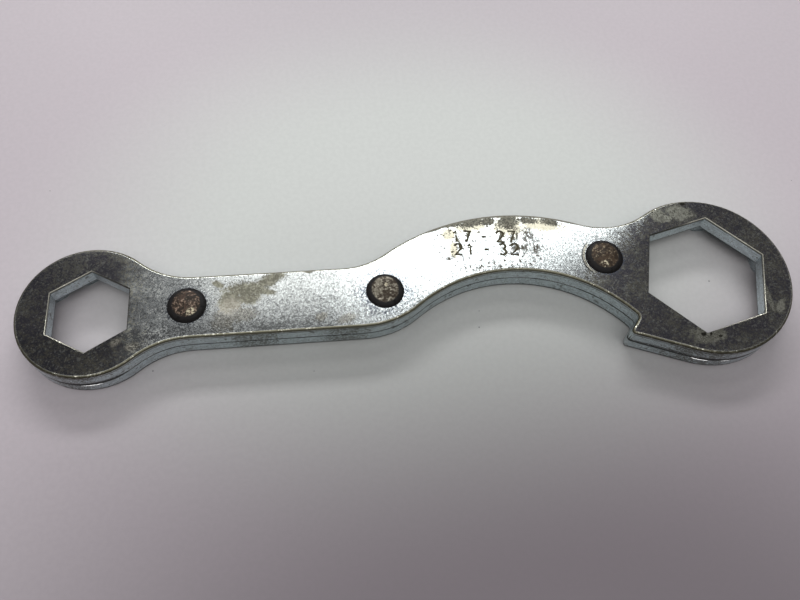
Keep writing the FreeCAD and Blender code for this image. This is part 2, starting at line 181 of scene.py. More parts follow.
class Net:
    """A node tree with a short call for each kind of node that the finishes are made of."""

    def __init__(self, tree):
        self.tree = tree

    def node(self, kind, **settings):
        made = self.tree.nodes.new(kind)
        for name, value in settings.items():
            setattr(made, name, value)
        return made

    def feed(self, socket, value):
        if isinstance(value, bpy.types.NodeSocket):
            self.tree.links.new(value, socket)
        elif value is not None:
            if socket.type == "RGBA" and len(value) == 3:
                value = (*value, 1.0)
            socket.default_value = value

    def feed_all(self, made, **values):
        """Feed a node's inputs by the names of its sockets, with _ for a space."""
        for name, value in values.items():
            self.feed(made.inputs[name.replace("_", " ")], value)
        return made

    def math(self, operation, first, second=None, third=None):
        made = self.node("ShaderNodeMath", operation=operation)
        for socket, value in zip(made.inputs, (first, second, third)):
            self.feed(socket, value)
        return made.outputs[0]

    def vector_math(self, operation, first, second=None, output=0):
        made = self.node("ShaderNodeVectorMath", operation=operation)
        self.feed(made.inputs[0], first)
        self.feed(made.inputs[1], second)
        return made.outputs[output]

    def size(self, vector):
        """The length of a vector."""
        return self.vector_math("LENGTH", vector, output="Value")

    def distance(self, place, other):
        return self.vector_math("DISTANCE", place, other, output="Value")

    def times(self, *values):
        """The product of masks and numbers."""
        return reduce(lambda first, second: self.math("MULTIPLY", first, second), values)

    def highest(self, *values):
        """The highest of several masks."""
        return reduce(lambda first, second: self.math("MAXIMUM", first, second), values)

    def minus(self, first, second):
        return self.math("SUBTRACT", first, second)

    def without(self, mask):
        """Where a mask is not."""
        return self.minus(1.0, mask)

    def add_share(self, value, other, share):
        """A value with a share of another one added."""
        return self.math("MULTIPLY_ADD", other, share, value)

    def sway(self, value, pattern, reach):
        """A value moved up and down by a pattern that is 0.5 on average."""
        return self.math("MULTIPLY_ADD", self.minus(pattern, 0.5), reach, value)

    def band(self, value, start, end, low, high):
        """A smooth step of a value: low before start, high after end."""
        made = self.node("ShaderNodeMapRange", interpolation_type="SMOOTHSTEP")
        self.feed_all(made, Value=value, From_Min=start, From_Max=end, To_Min=low, To_Max=high)
        return made.outputs[0]

    def rise(self, value, start, end, high=1.0):
        """A mask that is 0 before start and full after end."""
        return self.band(value, start, end, 0.0, high)

    def fall(self, value, start, end, low=1.0):
        """A mask that is full before start and 0 after end."""
        return self.band(value, start, end, low, 0.0)

    def noise(self, place, scale, detail=2.0, roughness=0.5, distortion=0.0):
        made = self.node("ShaderNodeTexNoise")
        self.feed_all(
            made, Vector=place, Scale=scale, Detail=detail, Roughness=roughness, Distortion=distortion,
        )
        return made.outputs["Fac"]

    def cells(self, place, scale):
        """A colour by chance for each cell of a pattern of cells."""
        made = self.node("ShaderNodeTexVoronoi")
        self.feed_all(made, Vector=place, Scale=scale)
        return made.outputs["Color"]

    def blend(self, data_type, kind, share, first, second):
        """A value between two others, which are the last two sockets of their kind."""
        made = self.node("ShaderNodeMix", data_type=data_type)
        ends = [socket for socket in made.inputs if socket.type == kind][-2:]
        for socket, value in zip((made.inputs[0], *ends), (share, first, second)):
            self.feed(socket, value)
        return [socket for socket in made.outputs if socket.type == kind][0]

    def mix(self, share, first, second):
        """A colour between two others."""
        return self.blend("RGBA", "RGBA", share, first, second)

    def coat(self, colour, tone, *masks):
        """A colour with another one laid over it by the product of masks and numbers."""
        return self.mix(self.times(*masks), colour, tone)

    def between(self, share, first, second):
        """A number between two others."""
        return self.blend("FLOAT", "VALUE", share, first, second)

    def group(self, tree, **values):
        """A node group, given its values by the names of its sockets."""
        return self.feed_all(self.node("ShaderNodeGroup", node_tree=tree), **values)

    def turned(self, place, turn):
        """A place turned about the upright axis."""
        made = self.node("ShaderNodeVectorRotate", rotation_type="Z_AXIS")
        return self.feed_all(made, Vector=place, Angle=turn).outputs[0]


def new_group(name, inputs, outputs):
    """An empty node group with its sockets: pairs of a name and a kind of socket."""
    tree = bpy.data.node_groups.new(name, "ShaderNodeTree")
    for way, sockets in (("INPUT", inputs), ("OUTPUT", outputs)):
        for label, kind in sockets:
            tree.interface.new_socket(name=label, in_out=way, socket_type=kind)
    net = Net(tree)
    entry = net.node("NodeGroupInput").outputs
    leave = net.node("NodeGroupOutput").inputs
    return tree, net, entry, leave


def stain_group():
    """A patch: 1 inside an ellipse whose edge is broken up by lumps and grains, 0 outside."""
    tree, net, entry, leave = new_group(
        "ragged_stain",
        [("Position", VECTOR), ("Grain", FLOAT), ("Lumps", FLOAT), ("Centre", VECTOR), ("Turn", FLOAT),
         ("Stretch", VECTOR), ("Raggedness", FLOAT), ("Softness", FLOAT)],
        [("Mask", FLOAT)],
    )
    moved = net.vector_math("SUBTRACT", entry["Position"], entry["Centre"])
    turned = net.turned(moved, net.times(entry["Turn"], -1.0))
    stretched = net.vector_math("MULTIPLY", turned, entry["Stretch"])
    ragged = net.sway(net.size(stretched), entry["Lumps"], entry["Raggedness"])
    edge = net.sway(ragged, entry["Grain"], 0.45)
    outer = net.math("ADD", 1.0, entry["Softness"])
    net.feed(leave["Mask"], net.fall(edge, net.without(entry["Softness"]), outer))
    return tree


def grain_group():
    """Grains of worn plating: a shade about 0.5 for each grain, rare flecks, and a lean of each grain."""
    tree, net, entry, leave = new_group(
        "plating_grain",
        [("Position", VECTOR), ("Grain Size", FLOAT), ("Rarity", FLOAT), ("Tilt", FLOAT), ("Normal", VECTOR)],
        [("Grain", FLOAT), ("Fleck", FLOAT), ("Normal", VECTOR)],
    )
    frequency = net.math("DIVIDE", 1.0, entry["Grain Size"])
    fine = net.noise(entry["Position"], frequency, 3.0, 0.7)
    shades = net.node("ShaderNodeSeparateColor")
    cell = net.cells(entry["Position"], frequency)
    net.feed(shades.inputs[0], cell)
    lean = net.vector_math("MULTIPLY_ADD", cell, (2.0, 2.0, 2.0))
    net.feed(lean.node.inputs[2], (-1.0, -1.0, -1.0))
    scaled = net.node("ShaderNodeVectorMath", operation="SCALE")
    net.feed(scaled.inputs[0], lean)
    net.feed(scaled.inputs["Scale"], entry["Tilt"])
    tilted = net.vector_math("ADD", entry["Normal"], scaled.outputs[0])
    net.feed(leave["Normal"], net.vector_math("NORMALIZE", tilted))
    even = net.rise(fine, 0.32, 0.68)
    net.feed(leave["Grain"], net.add_share(net.times(even, 0.45), shades.outputs[0], 0.55))
    gathered = net.noise(entry["Position"], net.times(frequency, 0.16), 3.0, 0.6)
    chosen = net.add_share(shades.outputs[1], gathered, 0.9)
    start = net.minus(entry["Rarity"], 0.08)
    net.feed(leave["Fleck"], net.rise(chosen, start, entry["Rarity"]))
    return tree


def scratch_group():
    """Fine scratches that run one way."""
    tree, net, entry, leave = new_group(
        "fine_scratches",
        [("Position", VECTOR), ("Turn", FLOAT), ("Spacing", FLOAT), ("Share", FLOAT)],
        [("Mask", FLOAT)],
    )
    stretched = net.vector_math("MULTIPLY", net.turned(entry["Position"], entry["Turn"]), (0.06, 1.0, 1.0))
    lines = net.noise(stretched, net.math("DIVIDE", 1.0, entry["Spacing"]), 2.0, 0.6, 0.2)
    gaps = net.noise(entry["Position"], 0.25, 2.0, 0.5)
    start = net.minus(0.80, net.times(entry["Share"], 0.2))
    fine = net.rise(lines, start, net.math("ADD", start, 0.03))
    net.feed(leave["Mask"], net.times(fine, net.rise(gaps, 0.45, 0.6)))
    return tree


# Stains on the top face, in millimetres: place along, place across, half length, half width,
# turn in degrees, raggedness
OLIVE_STAINS = (
    (-38.8, 2.9, 5.6, 2.2, 2, 1.7),
    (-42.2, 0.6, 3.5, 2.7, 60, 1.5),
    (-38.8, 0.8, 3.4, 1.7, 0, 1.7),
    (-33.6, 5.0, 4.4, 1.5, 26, 1.7),
    (-34.4, 2.1, 2.2, 0.8, -10, 1.8),
    (-45.0, 4.6, 1.7, 0.8, -30, 1.2),
    (-24.6, 6.7, 1.2, 0.45, 4, 1.2),
)
BEIGE_STAINS = (
    (-42.8, -3.2, 4.4, 2.8, 60, 1.8),
    (-39.4, -3.4, 2.8, 1.6, 10, 1.8),
    (-22.4, -5.0, 1.5, 0.9, 20, 1.7),
    (-16.7, -5.8, 2.2, 1.0, 15, 1.7),
    (-63.1, -9.3, 1.6, 1.1, 10, 1.2),
    (-66.7, -8.0, 1.3, 0.9, 40, 1.5),
    (-61.5, 11.6, 3.4, 0.8, -32, 1.6),
)
BOW_STAINS = (
    (6.2, 16.3, 2.4, 0.5, 20, 0.9),
    (10.4, 17.3, 2.8, 0.8, 14, 1.5),
    (14.6, 17.4, 3.4, 1.3, 12, 2.2),
    (18.4, 17.5, 1.8, 1.3, 5, 2.2),
    (23.4, 17.0, 2.6, 2.0, 0, 2.2),
    (28.2, 17.2, 2.6, 1.0, -8, 2.2),
    (33.4, 16.3, 2.4, 0.9, -14, 2.2),
)
BOW_BLOOM = (
    (14.6, 16.6, 4.6, 1.9, 10, 2.2),
    (23.6, 16.0, 4.0, 2.9, 0, 2.2),
    (31.0, 15.8, 5.2, 1.7, -12, 2.2),
    (8.6, 14.4, 1.6, 1.6, 0, 1.6),
    (9.4, 10.2, 0.9, 2.0, 0, 1.6),
)
STAMP_PATCH = ((17.9, 10.6, 13.2, 6.6, -5, 0.25),)
STAMP_INSIDE = ((17.9, 10.9, 11.4, 4.8, -5, 0.25),)
STAMP_SMEARS = (
    (24.6, 13.4, 2.4, 1.0, 60, 2.6),
    (27.6, 13.2, 2.2, 1.5, 80, 2.6),
    (26.4, 9.8, 3.2, 0.9, 5, 2.8),
    (28.9, 9.6, 1.0, 1.5, 0, 2.4),
    (24.4, 9.2, 0.7, 1.5, 0, 2.4),
)
BIG_RING_PATCHES = (
    (66.3, 17.0, 3.2, 2.1, -12, 2.4),
    (60.6, 16.7, 1.6, 2.0, -20, 2.6),
    (62.6, 15.6, 1.6, 1.0, 10, 1.8),
    (64.3, -15.4, 4.4, 2.3, 0, 2.4),
    (81.3, -5.5, 0.7, 5.0, 4, 1.7),
    (83.6, -9.7, 1.9, 1.0, 50, 2.2),
)
TOP_PITS = (
    (63.3, -15.4, 0.70, 0.55, 10, 1.2),
    (65.1, -15.4, 0.35, 0.35, 0, 1.2),
    (67.1, -16.1, 0.40, 0.35, 0, 1.2),
    (67.8, 19.6, 0.80, 0.50, -10, 0.8),
)
WALL_STAINS = (
    (-17.0, -7.8, 5.2, 3.0, 4, 1.6),
    (-37.0, -7.8, 5.0, 2.5, 0, 2.2),
    (-76.0, -15.0, 5.0, 2.5, -12, 2.2),
    (62.0, -19.0, 8.0, 2.5, -10, 2.2),
)
# Where the plates gape a little
SEAM_GAPS = (
    (55.0, -18.0, 9.0, 4.5, -20, 0.6),
    (68.0, -20.3, 9.0, 4.0, 0, 0.6),
    (-72.0, -15.5, 8.0, 3.5, -8, 0.8),
)
# Painted highlights where the lower plate's edge stands a little proud of the upper one's
SEAM_HIGHLIGHTS = (
    (66.5, -20.4, 7.0, 2.2, 0, 1.8),
    (-70.2, -15.7, 3.6, 2.2, 5, 1.8),
)


def stains(surface, rows, lump, softness):
    """One mask for a list of stains."""
    lumps = surface.net.noise(surface.place, 1 / lump, 6.0, 0.76)
    masks = []
    for along, across, half_length, half_width, turn, raggedness in rows:
        patch = surface.net.group(
            surface.groups["stain"], Position=surface.place, Grain=surface.grit, Lumps=lumps,
            Centre=(along, across, 0.0), Turn=math.radians(turn),
            Stretch=(1 / half_length, 1 / half_width, 0.0), Raggedness=raggedness, Softness=softness,
        )
        masks.append(patch.outputs["Mask"])
    return surface.net.highest(*masks)


def scratches(surface, turn, spacing, share):
    """Fine scratches that run one way, at a turn in degrees."""
    made = surface.net.group(
        surface.groups["scratch"], Position=surface.place, Turn=math.radians(turn), Spacing=spacing,
        Share=share,
    )
    return made.outputs["Mask"]


def away_from(net, place, centre):
    """The distance from an upright axis, in millimetres."""
    flat = net.vector_math("MULTIPLY", place, (1.0, 1.0, 0.0))
    return net.distance(flat, tuple(value / MM for value in centre))


def new_material(name):
    """An empty material and the net of its nodes."""
    material = bpy.data.materials.new(name)
    material.use_nodes = True
    material.node_tree.nodes.clear()
    return material, Net(material.node_tree)


def in_millimetres(net):
    """The place on a piece in millimetres, and the way its surface faces."""
    source = net.node("ShaderNodeTexCoord")
    scaled = net.node("ShaderNodeMapping")
    net.feed(scaled.inputs["Vector"], source.outputs["Object"])
    scaled.inputs["Scale"].default_value = (1 / MM, 1 / MM, 1 / MM)
    return scaled.outputs[0], source.outputs["Normal"]


def finish(net, **values):
    """A material's shader with these values, and its output."""
    shader = net.node("ShaderNodeBsdfPrincipled")
    net.feed_all(shader, **values)
    ending = net.node("ShaderNodeOutputMaterial")
    net.feed(ending.inputs["Surface"], shader.outputs[0])


class Surface:
    """What a zinc finish starts from: the place, the way the surface faces, and its grain."""

    def __init__(self, net, groups, look):
        self.net, self.groups, self.look = net, groups, look
        self.place, normal = in_millimetres(net)
        parts = net.node("ShaderNodeSeparateXYZ")
        net.feed(parts.inputs[0], self.place)
        self.along, self.across, self.height = parts.outputs
        facing = net.node("ShaderNodeSeparateXYZ")
        net.feed(facing.inputs[0], normal)
        self.upright = net.math("ABSOLUTE", facing.outputs["Z"])
        self.flat = net.rise(self.upright, 0.965, 0.998)
        self.wall = net.fall(self.upright, 0.15, 0.35)
        self.rim = net.times(net.without(self.flat), net.without(self.wall))
        fine = net.group(groups["grain"], Position=self.place, Grain_Size=0.30, Rarity=1.40)
        coarse = net.group(groups["grain"], Position=self.place, Grain_Size=0.62, Rarity=1.50)
        self.grit = fine.outputs["Grain"]
        self.speck = fine.outputs["Fleck"]
        self.chip = coarse.outputs["Fleck"]
        self.lumps = coarse.outputs["Grain"]
        self.clouds = net.noise(self.place, 0.16, 4.0, 0.6)

    def away(self, centre):
        return away_from(self.net, self.place, centre)


# Roughness of zinc, patina, worn rims and side walls, and what a stain adds
ZINC_ROUGHNESS, PATINA_ROUGHNESS, RIM_ROUGHNESS, WALL_ROUGHNESS = 0.16, 0.28, 0.42, 0.32
UNDER_ZINC_ROUGHNESS, UNDER_PATINA_ROUGHNESS = 0.30, 0.40
STAIN_ROUGHNESS = 0.32
FACET_SIZE = 0.26
# How far the normal is tilted up under the painted highlights
HIGHLIGHT_LEAN = 2.2
RELIEF = 0.010 * MM


def zinc_material(name, look, kind):
    """Worn zinc plating on steel. kind is the surface that gives a plate its own colour and wear."""
    material, net = new_material(name)
    surface = kind(net, finish_groups(), look)
    dressed = surface.dressing()
    colour, highlight_mask = wall_dressing(surface, dressed["colour"])
    bump = net.node("ShaderNodeBump")
    net.feed_all(bump, Distance=RELIEF, Strength=1.0, Height=dressed["relief"])
    facets = net.group(
        surface.groups["grain"], Position=surface.place, Grain_Size=FACET_SIZE, Tilt=dressed["tilt"],
        Normal=bump.outputs[0],
    )
    # Under the painted highlights the normal is tilted up towards the top lamp
    lifted = net.node("ShaderNodeCombineXYZ")
    net.feed(lifted.inputs["Z"], net.times(highlight_mask, HIGHLIGHT_LEAN))
    leaning = net.vector_math("ADD", facets.outputs["Normal"], lifted.outputs[0])
    finish(
        net, Base_Color=colour, Roughness=dressed["roughness"], Metallic=dressed["metallic"],
        Normal=net.vector_math("NORMALIZE", leaning),
    )
    return material


def wall_dressing(surface, colour):
    """Side walls: pale blue zinc with pits, brown stains, a dark line under the rim, painted contact shadow
    at the foot and a dark seam.

    Gives the whole colour, and the mask of the painted highlights on the lower plate's edge.
    """
    net, look = surface.net, surface.look
    pale = tuple(look.wall)
    darker = shade(pale, 0.70)
    streaked = net.noise(net.vector_math("MULTIPLY", surface.place, (0.5, 0.5, 1.6)), 1.0, 3.0, 0.6)
    wall = net.mix(net.rise(streaked, 0.35, 0.65), darker, pale)
    wall = net.coat(wall, darker, surface.grit, 0.35)
    stained = stains(surface, WALL_STAINS, lump=1.0, softness=0.6)
    dirt = net.add_share(net.add_share(surface.grit, streaked, 0.9), stained, 0.42)
    wall = net.coat(wall, Tone.WALL_DIRT, net.rise(dirt, 1.16, 1.44, 0.85))
    wall = net.coat(wall, Tone.WALL_CHIP, surface.chip, 0.7)
    wall = net.coat(wall, Tone.WALL_SPECK, surface.speck, 0.35)

    # The dark line under the rims, and painted contact shadow at the foot
    inside = net.highest(
        net.fall(surface.away(SMALL_CENTRE), *SMALL_OPENING_WALLS),
        net.fall(surface.away(BIG_CENTRE), *BIG_OPENING_WALLS),
    )
    line_depth = net.between(inside, OUTER_RIM / MM + 0.12, look.rim / MM + 0.10)
    from_top = net.minus(surface.height, TOP / MM)
    from_line = net.math("ABSOLUTE", net.math("ADD", from_top, line_depth))
    broken = net.band(surface.clouds, 0.34, 0.56, 0.45, 0.95)
    wall = net.coat(wall, Tone.UNDER_RIM_DARK, net.fall(from_line, 0.08, 0.24), broken)
    wall = net.coat(wall, Tone.PAINTED_FOOT_SHADOW, net.fall(surface.height, *FOOT_SHADOW_BAND, 0.9), net.without(inside))
    colour = net.mix(surface.wall, colour, wall)

    # The seam, where it gapes, and the painted highlights below it
    from_seam = net.sway(net.minus(surface.height, SEAM / MM), streaked, 0.16)
    edge_on = net.fall(surface.upright, 0.8, 0.9)
    gapes = stains(surface, SEAM_GAPS, lump=1.2, softness=0.5)
    gape = net.math("MULTIPLY_ADD", gapes, 0.30, 0.13)
    from_gape = net.math("DIVIDE", net.math("ABSOLUTE", from_seam), gape)
    colour = net.coat(colour, Tone.SEAM, net.fall(from_gape, 1.0, 1.9), edge_on, 0.92)
    highlight_mask = stains(surface, SEAM_HIGHLIGHTS, lump=1.2, softness=0.2)
    from_highlight = net.math("ABSOLUTE", net.math("ADD", from_seam, HIGHLIGHT_BELOW_SEAM))
    worn = net.band(surface.clouds, 0.42, 0.56, 0.35, 1.0)
    highlight_mask = net.times(highlight_mask, net.fall(from_highlight, 0.07, 0.20), edge_on, worn)
    return net.mix(highlight_mask, colour, Tone.PAINTED_HIGHLIGHT), highlight_mask


class UpperSurface(Surface):
    """The upper plate: the masks of its wear, and its coats of colour from the plating up."""

    def __init__(self, net, groups, look):
        super().__init__(net, groups, look)
        self.from_small = self.away(SMALL_CENTRE)
        self.from_big = self.away(BIG_CENTRE)
        crowd = net.noise(self.place, 0.70, 6.0, 0.72)
        self.gathered = net.sway(net.times(net.minus(crowd, 0.5), 1.5), self.clouds, 1.3)
        self.speckle = net.math("ADD", self.gathered, self.grit)
        self.dashes = net.rise(net.add_share(crowd, self.grit, 0.4), 0.80, 0.92)

        # Patina: full on the rings, broken into grains along the neck and the end of the bow
        self.left = net.fall(self.along, *LEFT_PATINA)
        slanted = net.add_share(self.along, self.across, -1.1)
        self.ends = net.highest(self.left, net.rise(slanted, *RIGHT_PATINA))
        cloudy = net.add_share(net.sway(self.ends, self.grit, 1.25), self.gathered, -0.25)
        self.patina = net.times(net.rise(cloudy, 0.30, 0.74), self.flat)

        self.olive = stains(self, OLIVE_STAINS, 1.2, 0.30)
        self.bloom = stains(self, BOW_BLOOM, 0.6, 0.25)
        self.pits = stains(self, TOP_PITS, 0.6, 0.2)
        self.bow = net.highest(stains(self, BOW_STAINS, 0.6, 0.16), self.along_bow())
        self.rusty = self.rust()
        self.khaki = self.rubbed_neck()

    def along_bow(self):
        """A thin dark line along the bow's outer edge."""
        net = self.net
        from_bow = self.away(BOW_CENTRE)
        edge = net.rise(net.add_share(from_bow, self.grit, 0.35), *BOW_EDGE)
        return net.times(edge, net.rise(self.across, 14.6, 15.6), net.fall(self.along, 38.0, 44.0))

    def rust(self):
        """Dots along the edge of the stamped patch, fewer inside it, and smears beside the numbers."""
        net = self.net
        stamp = stains(self, STAMP_PATCH, 1.0, 0.06)
        inside = stains(self, STAMP_INSIDE, 1.0, 0.06)
        dots = net.times(stamp, net.without(inside), net.rise(self.lumps, 0.62, 0.70))
        spots = net.times(inside, net.rise(self.lumps, 0.76, 0.84))
        rubbed = net.noise(net.vector_math("MULTIPLY", self.place, (1.7, 0.4, 1.0)), 1.1, 4.0, 0.7)
        rubbed = net.rise(net.sway(rubbed, self.grit, 0.22), 0.45, 0.54)
        return net.highest(dots, spots, net.times(stains(self, STAMP_SMEARS, 0.8, 0.35), rubbed))

    def rubbed_neck(self):
        """Upright scratches and khaki flecks between the small ring and its rivet."""
        net = self.net
        upright = scratches(self, turn=88, spacing=0.28, share=0.8)
        flecks = net.highest(net.times(upright, 0.5), net.rise(self.speckle, 0.50, 0.95, 0.42))
        neck = net.times(net.rise(self.along, *NECK_START), net.fall(self.along, *NECK_END))
        return net.times(flecks, net.times(neck, self.flat))

    def plating(self):
        """Bright zinc with dark patina over both rings, paler and warmer in places, and pale flecks."""
        net, speckle = self.net, self.speckle
        bright, dark = tuple(self.look.zinc), tuple(self.look.patina)
        # Painted shade: the handle's zinc is darker along its near edge
        shaded_near_edge = net.times(net.fall(self.across, -7.0, -3.2), net.fall(self.along, -24.0, -12.0))
        shadow = net.add_share(net.add_share(self.grit, self.gathered, 0.5), shaded_near_edge, -0.28)
        zinc = net.mix(net.rise(shadow, 0.0, 0.55), shade(bright, 0.36), bright)
        aged = net.mix(self.grit, shade(dark, 0.42), shade(dark, 1.2))
        # Paler on the small ring's far side and darker on its near side
        far_side = net.times(net.rise(self.across, 3.0, 11.0), self.left)
        near_side = net.times(net.fall(self.across, -8.0, -2.0), self.left)
        shift = net.minus(net.times(far_side, 0.20), net.times(near_side, 0.22))
        pale = net.rise(net.math("ADD", shift, speckle), 0.58, 0.98)
        aged = net.coat(aged, Tone.PALE_PATINA, pale, 0.8)
        aged = net.coat(aged, Tone.NEAR_SIDE_DARK, near_side, 0.42)
        small_edge = net.rise(self.from_small, *SMALL_RING_EDGE)
        edge = net.highest(small_edge, net.rise(self.from_big, *BIG_RING_EDGE))
        aged = net.coat(aged, Tone.WARM_PATINA, edge, net.rise(speckle, 0.30, 0.85, 0.7))
        colour = net.mix(self.patina, zinc, aged)
        flecks = net.highest(self.speck, self.chip, net.rise(speckle, 1.02, 1.20))
        return net.coat(colour, Tone.FLECK, flecks, self.patina, 0.32)

    def stain(self, colour):
        """Stains on the handle and the bow, and bare patches on the big ring."""
        net, speckle = self.net, self.speckle
        speckled = net.rise(self.grit, 0.30, 0.62)
        beige = stains(self, BEIGE_STAINS, 1.2, 0.30)
        bare = stains(self, BIG_RING_PATCHES, 0.8, 0.10)
        colour = net.coat(colour, net.mix(net.rise(speckle, 0.2, 0.9), *Tone.OLIVE), self.olive, 0.97)
        colour = net.coat(colour, net.mix(speckled, *Tone.BEIGE), beige, 0.60)
        colour = net.coat(colour, Tone.BLOOM, self.bloom, 0.75)
        colour = net.coat(colour, net.mix(speckled, *Tone.BOW_STAIN), self.bow)
        colour = net.coat(colour, net.mix(net.rise(speckle, 0.2, 0.8), *Tone.BARE), bare, 0.9)
        colour = net.coat(colour, Tone.RUST, self.rusty)
        return net.coat(colour, Tone.PIT, self.pits, 0.9)

    def mark_rivets(self, colour):
        """Bluish speckle round the rivets, and the crescent that a tool left beside the last one."""
        net = self.net
        halos = []
        for node, end in zip(RIVET_NODES, HALO_ENDS):
            distance = self.away(centre_of(node))
            halos.append(net.fall(distance, HALO_START, end))
        colour = net.coat(colour, Tone.HALO, net.highest(*halos), net.fall(self.grit, 0.42, 0.58), 0.75)
        beside = net.fall(self.along, *CRESCENT_SIDE)
        crescent = net.times(net.rise(distance, *CRESCENT_INSIDE), net.fall(distance, *CRESCENT_OUTSIDE))
        outline = net.times(net.rise(distance, *CRESCENT_OUTSIDE), net.fall(distance, *CRESCENT_OUTLINE))
        colour = net.coat(colour, Tone.CRESCENT, crescent, beside)
        return net.coat(colour, Tone.CRESCENT_OUTLINE, outline, beside, 0.8)

    def scratch(self, colour):
        """Fine scratches that cross, and the rubbed neck."""
        net = self.net
        lines = net.highest(
            scratches(self, turn=25, spacing=0.35, share=0.5),
            scratches(self, turn=-50, spacing=0.4, share=0.4),
        )
        colour = net.coat(colour, Tone.SCRATCH, lines, 0.30)
        return net.coat(colour, Tone.KHAKI, self.khaki)

    def wear_rims(self, colour):
        """Rims worn to metal in dashes, khaki between them, and dull on the far halves of the hexagons."""
        net, along = self.net, self.along
        rim = net.mix(self.dashes, net.mix(self.ends, *Tone.RIM), Tone.RIM_METAL)
        rim = net.coat(rim, Tone.RIM_STAIN, net.highest(self.bow, self.olive), 0.8)
        small = net.fall(self.from_small, *SMALL_HEXAGON_RIM)
        big = net.fall(self.from_big, *BIG_HEXAGON_RIM)
        rim = net.coat(rim, Tone.HEXAGON_RIM, net.highest(small, big), 0.6)
        dull_small = net.times(small, net.rise(along, -75.0, -71.0))
        dull_big = net.times(big, net.fall(along, 64.0, 70.0))
        rim = net.coat(rim, Tone.DULL_RIM, net.highest(dull_small, dull_big))
        return net.mix(self.rim, colour, rim)

    def dressing(self):
        """Dark patina on both rings, stains, halos round the rivets, worn rims."""
        net = self.net
        colour = self.plating()
        for coat in (self.stain, self.mark_rivets, self.scratch, self.wear_rims):
            colour = coat(colour)
        stained = net.highest(self.olive, self.bow, self.rusty, net.times(self.bloom, 0.5))
        roughness = net.between(self.patina, ZINC_ROUGHNESS, PATINA_ROUGHNESS)
        roughness = net.add_share(roughness, stained, STAIN_ROUGHNESS)
        dull_rim = net.times(self.rim, net.without(self.dashes))
        roughness = net.between(dull_rim, roughness, RIM_ROUGHNESS)
        return {
            "colour": colour,
            "roughness": net.between(self.wall, roughness, WALL_ROUGHNESS),
            "metallic": net.without(net.highest(self.rusty, self.khaki, net.times(stained, 0.88))),
            "relief": net.minus(self.clouds, net.highest(self.rusty, self.pits)),
            "tilt": net.times(net.between(self.patina, 0.014, 0.012), self.flat),
        }


class LowerSurface(Surface):
    """The lower plate: an underside scuffed by the bench."""

    def dressing(self):
        net, bright, dark = self.net, tuple(self.look.zinc), tuple(self.look.patina)
        zinc = net.mix(self.grit, shade(bright, 0.5), shade(bright, 0.86))
        aged = net.mix(self.grit, shade(dark, 1.1), shade(dark, 3.2))
        patina = net.times(net.rise(net.sway(self.clouds, self.lumps, 0.4), 0.48, 0.66), self.flat)
        lines = net.highest(
            scratches(self, turn=12, spacing=0.35, share=0.6),
            scratches(self, turn=-35, spacing=0.4, share=0.5),
        )
        lines = net.times(lines, self.flat)
        roughness = net.between(patina, UNDER_ZINC_ROUGHNESS, UNDER_PATINA_ROUGHNESS)
        return {
            "colour": net.coat(net.coat(zinc, aged, patina, 0.8), Tone.SCUFF, lines, 0.5),
            "roughness": net.between(self.wall, roughness, WALL_ROUGHNESS),
            "metallic": net.without(net.times(patina, 0.1)),
            "relief": net.minus(self.clouds, lines),
            "tilt": net.times(self.flat, 0.05),
        }


def groove_material():
    """Old grease and rust in the stamped numbers."""
    material, net = new_material("stamp_grime")
    patchy = net.noise(in_millimetres(net)[0], 1.2, 3.0, 0.6)
    finish(
        net, Base_Color=net.mix(patchy, *Tone.STAMP), Roughness=net.band(patchy, 0.3, 0.7, 0.6, 0.85),
        Metallic=0.0, Specular_IOR_Level=0.1,
    )
    return material


# How a crown is worn: its rust, its main colour, its worn creases and their strength, and in
# millimetres from its middle where a glint is painted, and how far
RivetFinish = namedtuple("RivetFinish", "rust main worn creases gleam gleam_reach")
RIVET_FINISHES = {
    "rivet_small_end": RivetFinish(
        (0.018, 0.013, 0.008), (0.070, 0.043, 0.030), (0.40, 0.30, 0.23), 0.85, (1.2, -2.2), 1.4,
    ),
    "rivet_middle": RivetFinish(
        (0.030, 0.019, 0.011), (0.225, 0.208, 0.160), (0.55, 0.51, 0.42), 0.60, (0.2, 1.0), 0.6,
    ),
    "rivet_big_end": RivetFinish(
        (0.022, 0.014, 0.008), (0.062, 0.040, 0.024), (0.30, 0.25, 0.17), 0.85, (-0.6, -2.3), 1.1,
    ),
}
RIVET_ROUGHNESS, RIVET_WORN_ROUGHNESS = 0.55, 0.32
RIVET_RELIEF = 0.07 * MM


